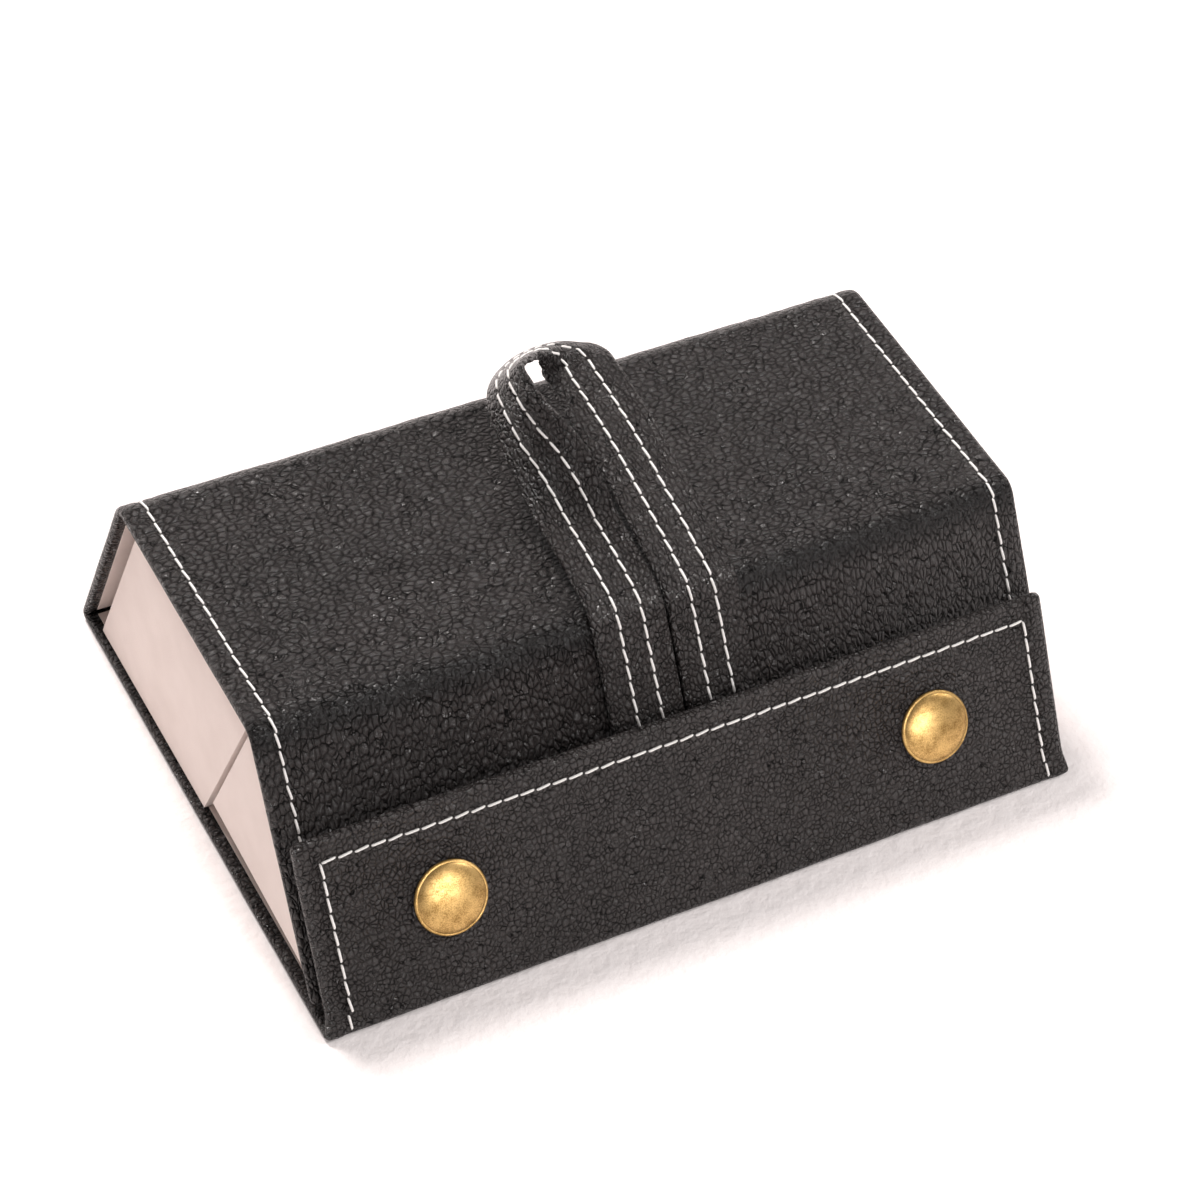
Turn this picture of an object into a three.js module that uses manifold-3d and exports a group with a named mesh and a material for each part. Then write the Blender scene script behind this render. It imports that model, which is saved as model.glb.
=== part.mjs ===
// Folding leatherette jewelry box: two open trays roll up inside one stitched cover strip.
// Millimetres, +Z up. X runs along the length, -Y is the front. The origin is the middle of
// the base's underside. The cover strip runs flap - base - back - top - front, and each piece
// of it is a thin board with leather turned round its edges.

import * as THREE from 'three';
import { mergeVertices } from 'three/addons/utils/BufferGeometryUtils.js';
import Module from 'manifold-3d';

// ---- driving dimensions -------------------------------------------------------------------
const LENGTH = 168;            // base and cover, along X
const DEPTH = 124.4;           // base, between the sharp corners of its folds
const BACK_RIDGE = [40, 52];   // outer corner of back and top panels (y, z)
const FRONT_RIDGE = [-24.5, 51];    // outer corner of top and front panels
const FRONT_FOOT = [-55, 3.6];       // lower end of the front panel's outer face
const FLAP_TIP = [-41.1, 35.5];     // upper end of the flap's outer face
const FLAP_LENGTH = 166;       // flap, along X

// layers of a panel, counted inward from its outer face
const LEATHER = 0.5;
const LAYER_GAP = 0.15;
const BOARD = 0.9;
const FACING = 0.4;            // lining, or the turned-over leather beside it
const PANEL = LEATHER + LAYER_GAP + BOARD + LAYER_GAP + FACING;
const BOARD_TOP = LEATHER + LAYER_GAP;
const BOARD_UNDER = BOARD_TOP + BOARD;
const FACING_TOP = PANEL - FACING;

const TURN_IN = 2.2;           // width of leather that shows round a board's inner face
const RIDGE_RADIUS = 5;        // outer radius of the cover where it bends over a ridge
const FRONT_FOLD_RADIUS = 1.2; // outer radius of the fold at the base's front edge
const SPINE_FOLD_RADIUS = 1.75;     // and at its back edge
const FOLD_RUN = 3.6;          // how far a fold strip runs up the panel it carries
const FOLD_UNDER = 3.6;        // how far a fold strip runs under the base
const BUTT_GAP = 0.3;          // gap where two pieces meet edge to edge
const SIDE_GAP = 0.2;          // gap where two pieces lie side by side

const TRAY_WALL = 2;
const TRAY_FLOOR = 0.8;
const TRAY_INSET = 1.5;        // end walls stand in from the ends of the cover
const TRAY_CLEAR = 0.3;        // rear tray's open edge above the base lining

const SNAP_SPREAD = 54.1;      // snap centres from the middle, along X
const SNAP_RISE = 21.1;        // snap centres from the flap's lower edge, up its outer face
const CAP_RADIUS = 7.7;
const CAP_HEIGHT = 2.3;
const POST_RADIUS = 1.5;
const HOLE_RADIUS = 1.8;

const STRAP_WIDTH = 16;
const STRAP_THICK = 1.2;
const STRAP_MIDDLE = 3.1;      // middle of the two strap legs, along X
const LEG_SPREAD = 8.2;        // each leg's middle from the strap's middle
const STRAP_END = 31;          // lower ends of the strap, down the front panel from its ridge
const LEG_START = 6.7;         // where a leg's length is counted from, down from the ridge
const LOOP_ROOT = 12;          // the loop swings from here, just behind the ridge
const LOOP_LOW_PITCH = 12;     // slope of a leg just behind the ridge, in degrees
const STATIONS_PER_KNOT = 4;
const RIDGE_BEND = [4, 11.5];   // stretch of a leg that bends over the ridge

// The loop's free part: points on the strap's outer edge, each with the direction across the
// strap from there. The left leg turns on edge, its inner edge up; the strap rolls round the far
// end and comes back flat as the right leg.
const LOOP_EDGE = [
  [[-13.1, -13.5, 55.0], [1, 0, 0]],
  [[-13.1, -5.5, 56.2], [1, 0, 0.03]],
  [[-13.1, 1.0, 57.2], [0.95, -0.03, 0.28]],
  [[-13.1, 6.5, 59.2], [0.74, -0.10, 0.66]],
  [[-13.0, 12.0, 61.8], [0.46, -0.20, 0.87]],
  [[-12.7, 18.0, 65.0], [0.29, -0.34, 0.89]],
  [[-11.6, 23.5, 67.1], [0.19, -0.45, 0.88]],
  [[-8.1, 28.5, 66.6], [0.10, -0.58, 0.81]],
  [[-2.0, 33.0, 65.7], [-0.10, -0.70, 0.71]],
  [[5.2, 36.0, 64.2], [-0.37, -0.70, 0.61]],
  [[12.0, 37.0, 62.8], [-0.66, -0.58, 0.48]],
  [[17.4, 35.2, 62.3], [-0.90, -0.36, 0.26]],
  [[19.3, 31.3, 63.0], [-0.99, -0.13, 0.05]],
  [[19.3, 26.5, 63.3], [-1, 0, 0]],
  [[19.3, 19.0, 62.6], [-1, 0, 0]],
  [[19.3, 9.3, 61.3], [-1, 0, 0]],
  [[19.3, -0.8, 58.9], [-1, 0, 0]],
  [[19.3, -11.2, 56.2], [-1, 0, 0]],
];

// ---- plane geometry in the cross-section (y, z) --------------------------------------------
const v2 = ([y, z]) => new THREE.Vector2(y, z);
const along = (a, b) => b.clone().sub(a).normalize();
const inward = (dir) => new THREE.Vector2(dir.y, -dir.x);      // right of the direction
const offset = (p, dir, run, depth) =>
  p.clone().addScaledVector(dir, run).addScaledVector(inward(dir), depth);

const CORNER = {
  flapTip: v2(FLAP_TIP),
  front: new THREE.Vector2(-DEPTH / 2, 0),
  back: new THREE.Vector2(DEPTH / 2, 0),
  backRidge: v2(BACK_RIDGE),
  frontRidge: v2(FRONT_RIDGE),
  foot: v2(FRONT_FOOT),
};

// A face between two corners: its start, direction, length, and the side that is inward.
function face(start, end, inwardSign = 1) {
  const dir = along(start, end);
  const point = (run, depth) => offset(start, dir, run, depth * inwardSign);
  return { dir, length: start.distanceTo(end), point };
}

const FLAP = face(CORNER.front, CORNER.flapTip);
const BACK = face(CORNER.back, CORNER.backRidge, -1);
const FRONT = face(CORNER.frontRidge, CORNER.foot, -1);

// Quadrilateral between two runs and two depths of a face.
function slab(panel, run0, run1, depth0, depth1) {
  return [
    panel.point(run0, depth0), panel.point(run1, depth0),
    panel.point(run1, depth1), panel.point(run0, depth1),
  ];
}

// Points of a rounded corner at one depth: the arc is centred inside the corner.
function roundedCorner(before, corner, after, radius, depth, steps) {
  const inDir = along(before, corner);
  const outDir = along(corner, after);
  const turn = Math.acos(THREE.MathUtils.clamp(inDir.dot(outDir), -1, 1));
  const side = Math.sign(inDir.cross(outDir));
  const left = new THREE.Vector2(-inDir.y, inDir.x).multiplyScalar(side);
  const tangent = corner.clone().addScaledVector(inDir, -radius * Math.tan(turn / 2));
  const centre = tangent.clone().addScaledVector(left, radius);
  const spoke = left.clone().multiplyScalar(depth - radius);
  const points = [];
  for (let i = 0; i <= steps; i += 1) {
    const angle = (side * turn * i) / steps;
    points.push(spoke.clone().rotateAround(new THREE.Vector2(), angle).add(centre));
  }
  return points;
}

// The upper cover's profile at one depth: up the back, over both ridges, down the front to
// a little short of its foot. It can start early, to cut right through the open edge.
const COVER_START = FOLD_RUN + BUTT_GAP;
function coverLine(depth, short = 0, early = 0) {
  return [
    BACK.point(COVER_START - early, depth),
    ...roundedCorner(CORNER.back, CORNER.backRidge, CORNER.frontRidge, RIDGE_RADIUS, depth, 8),
    ...roundedCorner(CORNER.backRidge, CORNER.frontRidge, CORNER.foot, RIDGE_RADIUS, depth, 8),
    FRONT.point(FRONT.length - short, depth),
  ];
}

// The same for the base, which is open at both edges, and for the flap.
const baseSkinEdge = DEPTH / 2 - FOLD_UNDER - BUTT_GAP;
const baseLine = (depth, short = 0, early = 0) =>
  [-1, 1].map((side) => new THREE.Vector2(side * (baseSkinEdge + early), depth));
const flapLine = (depth, short = 0, early = 0) =>
  [FLAP.point(COVER_START - early, depth), FLAP.point(FLAP.length - short, depth)];

// A fold strip's profile: under the base, round its edge and a little way up the panel.
function foldBand(edge, panel, radius) {
  const underBase = new THREE.Vector2(0, 0);
  const up = panel.point(FOLD_RUN, 0);
  const line = (depth) => {
    const start = new THREE.Vector2(edge.x - Math.sign(edge.x) * FOLD_UNDER, depth);
    const corner = roundedCorner(underBase, edge, up, radius, depth, 6);
    return [start, ...corner, panel.point(FOLD_RUN, depth)];
  };
  return [...line(0), ...line(LEATHER).reverse()];
}

// ---- solids --------------------------------------------------------------------------------
const wasm = await Module();
wasm.setup();

// A solid whose outline lies in the cross-section, running from x0 to x1.
function prism(outline, x0, x1) {
  const geometry = new THREE.ExtrudeGeometry(new THREE.Shape(outline), {
    depth: x1 - x0, bevelEnabled: false, steps: 1,
  });
  const toSection = new THREE.Matrix4().makeBasis(
    new THREE.Vector3(0, 1, 0), new THREE.Vector3(0, 0, 1), new THREE.Vector3(1, 0, 0),
  );
  return geometry.applyMatrix4(toSection).translate(x0, 0, 0);
}

function toManifold(geometry) {
  const bare = geometry.clone();
  bare.deleteAttribute('normal');
  bare.deleteAttribute('uv');
  const welded = mergeVertices(bare, 1e-4);
  return new wasm.Manifold(new wasm.Mesh({
    numProp: 3,
    vertProperties: new Float32Array(welded.attributes.position.array),
    triVerts: new Uint32Array(welded.index.array),
  }));
}

function toGeometry(manifold) {
  const { vertProperties, triVerts } = manifold.getMesh();
  const geometry = new THREE.BufferGeometry();
  geometry.setAttribute('position', new THREE.BufferAttribute(new Float32Array(vertProperties), 3));
  geometry.setIndex(new THREE.BufferAttribute(new Uint32Array(triVerts), 1));
  geometry.computeVertexNormals();
  return geometry;
}

const cut = (body, ...tools) =>
  toGeometry(tools.map(toManifold).reduce((rest, tool) => rest.subtract(tool), toManifold(body)));

// Leather round a board: outer skin, turned ends, and the strips turned over inside. It is
// open where the board's edge lies at a fold, and in the middle of its inner face.
function turnedLeather(line, halfLength) {
  const band = (depth0, depth1, short, early) =>
    [...line(depth0, short, early), ...line(depth1, short, early).reverse()];
  const skinEnd = halfLength - LEATHER;
  const lipEnd = halfLength - TURN_IN;
  return cut(
    prism(band(0, PANEL, 0, 0), -halfLength, halfLength),
    prism(band(LEATHER, FACING_TOP, LEATHER, 1), -skinEnd, skinEnd),
    prism(band(FACING_TOP - 0.1, PANEL + 1, TURN_IN, 1), -lipEnd, lipEnd),
  );
}

// ---- the assembly --------------------------------------------------------------------------
const box = new THREE.Group();
const LOOKS = {
  leather: { color: 0x1d1c1d, roughness: 0.5, metalness: 0 },
  board: { color: 0x8d877c, roughness: 0.95, metalness: 0 },
  lining: { color: 0xf0e4da, roughness: 0.95, metalness: 0 },
  brass: { color: 0xa8813f, roughness: 0.35, metalness: 1 },
};

function add(name, geometry, look) {
  const mesh = new THREE.Mesh(geometry, new THREE.MeshStandardMaterial(LOOKS[look]));
  mesh.name = name;
  box.add(mesh);
  return mesh;
}

const half = LENGTH / 2;
const boardHalf = half - LEATHER - SIDE_GAP;
const liningHalf = half - TURN_IN - BUTT_GAP;

// ---- base ----------------------------------------------------------------------------------
function base() {
  const boardEdge = DEPTH / 2 - 2.3;
  const liningEdge = DEPTH / 2 - 3.8;
  const sheet = (edge, depth0, depth1, halfLength) =>
    new THREE.BoxGeometry(2 * halfLength, 2 * edge, depth1 - depth0)
      .translate(0, 0, (depth0 + depth1) / 2);
  add('base_leather', turnedLeather(baseLine, half), 'leather');
  add('base_board', sheet(boardEdge, BOARD_TOP, BOARD_UNDER, boardHalf), 'board');
  add('base_lining', sheet(liningEdge, FACING_TOP, PANEL, liningHalf), 'lining');
  add('front_fold', prism(foldBand(CORNER.front, FLAP, FRONT_FOLD_RADIUS), -half, half), 'leather');
  add('spine_fold', prism(foldBand(CORNER.back, BACK, SPINE_FOLD_RADIUS), -half, half), 'leather');
}

// ---- upper cover: back, top and front panels -------------------------------------------------
// Bores for the snap studs, square to the front panel.
const snapAcross = [-SNAP_SPREAD, SNAP_SPREAD];
const sideName = (x) => (x < 0 ? 'left' : 'right');

// Turns a shape built about +Z to stand on a face at a run, its +Z pointing outward.
function standOn(panel, inwardSign, run, x, geometry) {
  const foot = panel.point(run, 0);
  const out = inward(panel.dir).multiplyScalar(-inwardSign);
  const normal = new THREE.Vector3(0, out.x, out.y);
  const turn = new THREE.Quaternion().setFromUnitVectors(new THREE.Vector3(0, 0, 1), normal);
  return geometry.clone().applyQuaternion(turn).translate(x, foot.x, foot.y);
}

const flapSnap = FLAP.point(SNAP_RISE, 0);
const frontSnapRun = flapSnap.clone().sub(CORNER.frontRidge).dot(FRONT.dir);
const bore = () => new THREE.CylinderGeometry(HOLE_RADIUS, HOLE_RADIUS, 20, 24).rotateX(Math.PI / 2);
const frontBores = snapAcross.map((x) => standOn(FRONT, -1, frontSnapRun, x, bore()));
const flapBores = snapAcross.map((x) => standOn(FLAP, 1, SNAP_RISE, x, bore()));

function upperCover() {
  add('cover_leather', cut(turnedLeather(coverLine, half), ...frontBores), 'leather');

  const ridge = RIDGE_RADIUS * 0.8;
  const top = face(CORNER.backRidge, CORNER.frontRidge, -1);
  const board = (panel, run0, run1) =>
    prism(slab(panel, run0, run1, BOARD_TOP, BOARD_UNDER), -boardHalf, boardHalf);
  add('back_board', board(BACK, COVER_START + 0.4, BACK.length - ridge), 'board');
  add('top_board', board(top, ridge, top.length - ridge), 'board');
  const frontBoard = board(FRONT, ridge, FRONT.length - LEATHER - SIDE_GAP);
  add('front_board', cut(frontBoard, ...frontBores), 'board');
  add('back_lining', prism(
    slab(BACK, COVER_START + 0.4, BACK.length - ridge, FACING_TOP, PANEL), -liningHalf, liningHalf,
  ), 'lining');
}

// ---- trays ---------------------------------------------------------------------------------
const TRAY_OUT = half - TRAY_INSET;
const TRAY_IN = TRAY_OUT - TRAY_WALL - SIDE_GAP;
const FLOOR_TOP = PANEL + SIDE_GAP;
const FLOOR_UNDER = FLOOR_TOP + TRAY_FLOOR;
const WALL_TOP = FLOOR_UNDER + SIDE_GAP;

// Corners of the trays' walls in the cross-section.
const TRAY = {
  rearFrontTop: new THREE.Vector2(-20.2, 47.4),
  rearFrontFoot: new THREE.Vector2(0.4, PANEL + TRAY_CLEAR),
  rearBackFoot: new THREE.Vector2(53.4, PANEL + TRAY_CLEAR),
  rearBackTop: new THREE.Vector2(33.4, 48.2),
  frontTop: new THREE.Vector2(-21.4, 47.0),
  frontBackFoot: new THREE.Vector2(-4, 8.4),
  frontFoot: new THREE.Vector2(-49.8, 5.8),
};

// Polygon of a wall whose outer face runs from a down to b, cut level at both ends.
function wall(a, b, side) {
  const dir = along(a, b);
  const across = new THREE.Vector2((side * TRAY_WALL) / -dir.y, 0);
  return [a, b, b.clone().add(across), a.clone().add(across)];
}

// The point of the line from a to b that lies at a depth under the front panel.
function underFront(a, b, depth) {
  const depthOf = (p) => -inward(FRONT.dir).dot(p.clone().sub(CORNER.frontRidge));
  return a.clone().lerp(b, (depth - depthOf(a)) / (depthOf(b) - depthOf(a)));
}

function endWalls(name, outline) {
  add(`${name}_left_wall`, prism(outline, -TRAY_OUT, -TRAY_OUT + TRAY_WALL), 'lining');
  add(`${name}_right_wall`, prism(outline, TRAY_OUT - TRAY_WALL, TRAY_OUT), 'lining');
}

function rearTray() {
  const { rearFrontTop, rearFrontFoot, rearBackFoot, rearBackTop } = TRAY;
  const top = face(CORNER.backRidge, CORNER.frontRidge, -1);
  const floor = slab(top, 7.2, top.length - 5.6, FLOOR_TOP, FLOOR_UNDER);
  endWalls('rear_tray', [rearFrontTop, rearFrontFoot, rearBackFoot, rearBackTop]);
  add('rear_tray_floor', prism(floor, -TRAY_OUT, TRAY_OUT), 'lining');
  add('rear_tray_front_wall', prism(
    wall(rearFrontTop, rearFrontFoot, 1), -TRAY_IN, TRAY_IN,
  ), 'lining');
  add('rear_tray_back_wall', prism(
    wall(rearBackTop, rearBackFoot, -1), -TRAY_IN, TRAY_IN,
  ), 'lining');
}

function frontTray() {
  const { frontTop, frontBackFoot, frontFoot } = TRAY;
  const floor = slab(FRONT, 5.2, FRONT.length - 1.4, FLOOR_TOP, FLOOR_UNDER);
  const floorSolid = prism(floor, -TRAY_OUT, TRAY_OUT);
  const [top, foot, footInside, topInside] = wall(frontTop, frontBackFoot, -1);
  const trimmed = underFront(topInside, footInside, WALL_TOP);
  endWalls('front_tray', [frontTop, frontFoot, frontBackFoot]);
  add('front_tray_floor', cut(floorSolid, ...frontBores), 'lining');
  add('front_tray_back_wall', prism([top, foot, footInside, trimmed], -TRAY_IN, TRAY_IN), 'lining');
}

// ---- flap ----------------------------------------------------------------------------------
function flap() {
  const flapHalf = FLAP_LENGTH / 2;
  const end = FLAP.length;
  const leather = turnedLeather(flapLine, flapHalf);
  const board = prism(
    slab(FLAP, COVER_START + 0.2, end - LEATHER - SIDE_GAP, BOARD_TOP, BOARD_UNDER),
    -flapHalf + LEATHER + SIDE_GAP, flapHalf - LEATHER - SIDE_GAP,
  );
  const facing = prism(
    slab(FLAP, COVER_START, end - TURN_IN - BUTT_GAP, FACING_TOP, PANEL),
    -flapHalf + TURN_IN + BUTT_GAP, flapHalf - TURN_IN - BUTT_GAP,
  );
  add('flap_leather', cut(leather, ...flapBores), 'leather');
  add('flap_board', cut(board, ...flapBores), 'board');
  add('flap_facing', cut(facing, ...flapBores), 'leather');
}

// ---- snaps ---------------------------------------------------------------------------------
const lathe = (points, sides) =>
  new THREE.LatheGeometry(points.map(([r, z]) => new THREE.Vector2(r, z)), sides).rotateX(Math.PI / 2);

// Domed cap with a rolled rim, and the post that goes through the flap.
function capShape() {
  const postEnd = -(PANEL + 0.8);
  const dome = [];
  for (let i = 0; i <= 8; i += 1) {
    const angle = (i / 8) * (Math.PI / 2) * 0.86;
    dome.push([CAP_RADIUS * Math.sin(angle) / Math.sin(1.35), CAP_HEIGHT * (0.3 + 0.7 * Math.cos(angle))]);
  }
  dome[0][0] = 0;
  return lathe([
    [0, postEnd], [POST_RADIUS, postEnd], [POST_RADIUS, SIDE_GAP], [CAP_RADIUS - 0.4, SIDE_GAP],
    [CAP_RADIUS, 0.5], ...dome.reverse().filter(([r]) => r < CAP_RADIUS - 0.02),
  ], 32);
}

// Ring inside the flap that grips the stud; its top is at z = 0 and it hangs below.
function socketShape() {
  const inner = HOLE_RADIUS + 0.2;
  return lathe([[inner, -0.6], [5, -0.6], [5.2, -0.3], [5, 0], [inner, 0], [inner, -0.6]], 32);
}

// Stud on the front panel, hollow over its rivet.
function studShape() {
  return lathe([
    [HOLE_RADIUS, 0], [4.6, 0], [4.6, 0.35], [2.6, 0.45], [2.7, 0.8], [2.4, 1.0],
    [HOLE_RADIUS, 1.0], [HOLE_RADIUS, 0],
  ], 32);
}

// Rivet: a flat head inside the front tray and a post out to the stud.
function rivetShape() {
  const head = -(FLOOR_UNDER + SIDE_GAP);
  return lathe([
    [0, head - 0.5], [3.6, head - 0.5], [4, head - 0.25], [4, head], [POST_RADIUS, head],
    [POST_RADIUS, 1.0], [0, 1.0],
  ], 32);
}

function snaps() {
  for (const x of snapAcross) {
    const side = sideName(x);
    const onFlap = (shape, lift) =>
      standOn(FLAP, 1, SNAP_RISE, x, shape.translate(0, 0, lift));
    const onFront = (shape, lift) =>
      standOn(FRONT, -1, frontSnapRun, x, shape.translate(0, 0, lift));
    add(`snap_cap_${side}`, onFlap(capShape(), 0), 'brass');
    add(`snap_socket_${side}`, onFlap(socketShape(), -PANEL - SIDE_GAP), 'brass');
    add(`snap_stud_${side}`, onFront(studShape(), SIDE_GAP), 'brass');
    add(`snap_rivet_${side}`, onFront(rivetShape(), 0), 'brass');
  }
}

// ---- strap ---------------------------------------------------------------------------------
const smooth = (from, to, x) => THREE.MathUtils.smoothstep(x, from, to);
const radians = THREE.MathUtils.degToRad;
const slopeDegrees = THREE.MathUtils.radToDeg(Math.atan2(-FRONT.dir.y, -FRONT.dir.x));

// Slope of a leg, in radians, at a length along it: up the front, then over the ridge.
function legSlope(s) {
  const overRidge = (LOOP_LOW_PITCH - slopeDegrees) * smooth(...RIDGE_BEND, s);
  return radians(slopeDegrees + overRidge);
}

// Points of a leg in the cross-section between two lengths along it.
function legLine(from, to, steps) {
  const fine = 0.1;
  const at = FRONT.point(LEG_START, -SIDE_GAP - STRAP_THICK / 2);
  const line = [];
  let s = 0;
  for (let i = 0; i <= steps; i += 1) {
    const target = from + ((to - from) * i) / steps;
    while (s < target - 1e-6) {
      const step = Math.min(fine, target - s);
      const angle = legSlope(s + step / 2);
      at.x += step * Math.cos(angle);
      at.y += step * Math.sin(angle);
      s += step;
    }
    line.push({ s, y: at.x, z: at.y, angle: legSlope(s) });
  }
  return line;
}

// Lower runs of the strap, up the front panel and over the ridge, their ends under the flap.
function strapRuns() {
  const bend = legLine(0, LOOP_ROOT - BUTT_GAP / 2, 14);
  const shifted = (by) => bend.map(({ y, z, angle }) =>
    new THREE.Vector2(y - by * Math.sin(angle), z + by * Math.cos(angle)));
  const outline = [
    FRONT.point(STRAP_END, -SIDE_GAP), ...shifted(-STRAP_THICK / 2),
    ...shifted(STRAP_THICK / 2).reverse(), FRONT.point(STRAP_END, -SIDE_GAP - STRAP_THICK),
  ];
  for (const sign of [-1, 1]) {
    const middle = STRAP_MIDDLE + sign * LEG_SPREAD;
    add(`strap_${sideName(sign)}_run`, prism(
      outline, middle - STRAP_WIDTH / 2, middle + STRAP_WIDTH / 2,
    ), 'leather');
  }
}

// Edge points and directions across the strap for the whole loop, from root to root.
function loopKnots() {
  const [root] = legLine(LOOP_ROOT + BUTT_GAP / 2, LOOP_ROOT + BUTT_GAP / 2, 1);
  const ends = [-1, 1].map((side) => {
    const edge = STRAP_MIDDLE + side * (LEG_SPREAD + STRAP_WIDTH / 2);
    return { edge: new THREE.Vector3(edge, root.y, root.z), width: new THREE.Vector3(-side, 0, 0) };
  });
  const free = LOOP_EDGE.map(([edge, width]) => (
    { edge: new THREE.Vector3(...edge), width: new THREE.Vector3(...width).normalize() }));
  return [ends[0], ...free, ends[1]];
}

// Stations along the loop: the strap's middle and the direction across it.
function loopStations() {
  const knots = loopKnots();
  const curve = new THREE.CatmullRomCurve3(knots.map((k) => k.edge), false, 'catmullrom', 0.5);
  const count = (knots.length - 1) * STATIONS_PER_KNOT;
  const stations = [];
  for (let i = 0; i <= count; i += 1) {
    const place = i / STATIONS_PER_KNOT;
    const knot = Math.min(Math.floor(place), knots.length - 2);
    const width = knots[knot].width.clone().lerp(knots[knot + 1].width, place - knot).normalize();
    const middle = curve.getPoint(i / count).addScaledVector(width, STRAP_WIDTH / 2);
    stations.push({ middle, width });
  }
  return stations;
}

// Direction of travel at a station, measured beside its middle by a share of half the width.
function travel(stations, i, share) {
  const at = ({ middle, width }) => middle.clone().addScaledVector(width, (share * STRAP_WIDTH) / 2);
  const after = at(stations[Math.min(i + 1, stations.length - 1)]);
  return after.sub(at(stations[Math.max(i - 1, 0)])).normalize();
}

// Rectangular strap swept along the stations; each edge has its own facing, as the strap warps.
function sweepStrap(stations) {
  const positions = [];
  stations.forEach(({ middle, width }, i) => {
    for (const [w, t] of [[-1, -1], [1, -1], [1, 1], [-1, 1]]) {
      const facing = new THREE.Vector3().crossVectors(width, travel(stations, i, w)).normalize();
      const corner = middle.clone()
        .addScaledVector(width, (w * STRAP_WIDTH) / 2).addScaledVector(facing, (t * STRAP_THICK) / 2);
      positions.push(corner.x, corner.y, corner.z);
    }
  });
  const index = [];
  for (let i = 0; i + 1 < stations.length; i += 1) {
    for (let k = 0; k < 4; k += 1) {
      const a = 4 * i + k;
      const b = 4 * i + ((k + 1) % 4);
      index.push(a, b + 4, b, a, a + 4, b + 4);
    }
  }
  const last = 4 * (stations.length - 1);
  index.push(0, 2, 3, 0, 1, 2, last, last + 2, last + 1, last, last + 3, last + 2);
  const geometry = new THREE.BufferGeometry();
  geometry.setAttribute('position', new THREE.Float32BufferAttribute(positions, 3));
  geometry.setIndex(index);
  geometry.computeVertexNormals();
  return geometry;
}

base();
upperCover();
rearTray();
frontTray();
flap();
snaps();
strapRuns();
add('strap_loop', sweepStrap(loopStations()), 'leather');

export default box;
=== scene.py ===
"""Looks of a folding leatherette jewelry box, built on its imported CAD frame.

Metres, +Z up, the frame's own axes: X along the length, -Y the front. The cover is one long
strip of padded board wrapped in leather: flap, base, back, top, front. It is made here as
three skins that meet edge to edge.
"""

import math
import random

import bmesh
import bpy
import numpy as np
from mathutils import Matrix, Vector, noise


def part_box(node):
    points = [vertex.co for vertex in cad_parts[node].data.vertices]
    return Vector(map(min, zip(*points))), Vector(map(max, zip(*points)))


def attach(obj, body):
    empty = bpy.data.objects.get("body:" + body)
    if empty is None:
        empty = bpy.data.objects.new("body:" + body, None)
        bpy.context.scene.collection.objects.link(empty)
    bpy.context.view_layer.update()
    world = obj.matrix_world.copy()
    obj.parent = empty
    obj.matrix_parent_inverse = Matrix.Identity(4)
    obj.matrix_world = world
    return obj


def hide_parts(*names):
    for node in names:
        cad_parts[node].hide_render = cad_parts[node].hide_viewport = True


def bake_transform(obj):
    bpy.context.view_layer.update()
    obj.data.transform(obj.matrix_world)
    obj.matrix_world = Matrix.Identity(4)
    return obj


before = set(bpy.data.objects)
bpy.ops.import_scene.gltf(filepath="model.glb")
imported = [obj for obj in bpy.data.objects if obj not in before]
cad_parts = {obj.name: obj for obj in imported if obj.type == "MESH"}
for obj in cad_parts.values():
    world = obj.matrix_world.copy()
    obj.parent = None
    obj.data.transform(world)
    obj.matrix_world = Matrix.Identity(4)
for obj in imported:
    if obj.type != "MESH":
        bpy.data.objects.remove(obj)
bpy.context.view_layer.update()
MM = 0.001

# ---- camera -------------------------------------------------------------------------------
CAMERA_AT = (-0.26964, -0.43951, 0.55871)
CAMERA_AZIMUTH, CAMERA_ELEVATION, CAMERA_ROLL = -31.94, 45.79, 6.07    # degrees
CAMERA_LENS = 109.8


def make_camera():
    data = bpy.data.cameras.new("camera")
    data.lens = CAMERA_LENS
    data.sensor_width = 36.0
    data.clip_start = 0.01
    data.clip_end = 10.0
    camera = bpy.data.objects.new("camera", data)
    turn = Matrix.Rotation(math.radians(CAMERA_AZIMUTH), 4, "Z")
    tip = Matrix.Rotation(math.radians(90.0 - CAMERA_ELEVATION), 4, "X")
    roll = Matrix.Rotation(math.radians(CAMERA_ROLL), 4, "Z")
    camera.matrix_world = Matrix.Translation(CAMERA_AT) @ turn @ tip @ roll
    bpy.context.collection.objects.link(camera)
    bpy.context.scene.camera = camera


# ---- shape of the strip -------------------------------------------------------------------
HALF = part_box("base_leather")[1][0]
DEPTH = 124.4 * MM                      # base, between the sharp corners of its folds
FLAP_TIP = Vector((-41.1, 35.5)) * MM   # corners of the strip's outer face, (y, z)
FRONT_EDGE = Vector((-DEPTH / 2, 0))
BACK_EDGE = Vector((DEPTH / 2, 0))
BACK_RIDGE = Vector((40.0, 52.0)) * MM
FRONT_RIDGE = Vector((-24.5, 51.0)) * MM
FRONT_FOOT = Vector((-55.0, 3.6)) * MM
CORNER_RADII = [1.2 * MM, 1.75 * MM, 5 * MM, 5 * MM]
PANEL = 1.95 * MM                       # thickness of a panel, up to its lining
FLAP_SHORTER = 1.0 * MM                 # the flap stands in from each end
TIP_ROUND = 1.6 * MM                    # corners of the strip's two ends, in plan
STITCH_IN = 5.0 * MM                    # stitch lines run this far in from the edges
STITCH_PITCH = 3.45 * MM


BEND_STEPS = 6               # least number of samples round a corner
END_STEPS = 11               # fine samples next to the strip's own ends
CLOSEST = 0.2                # samples closer than this share of a fine step are dropped


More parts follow.
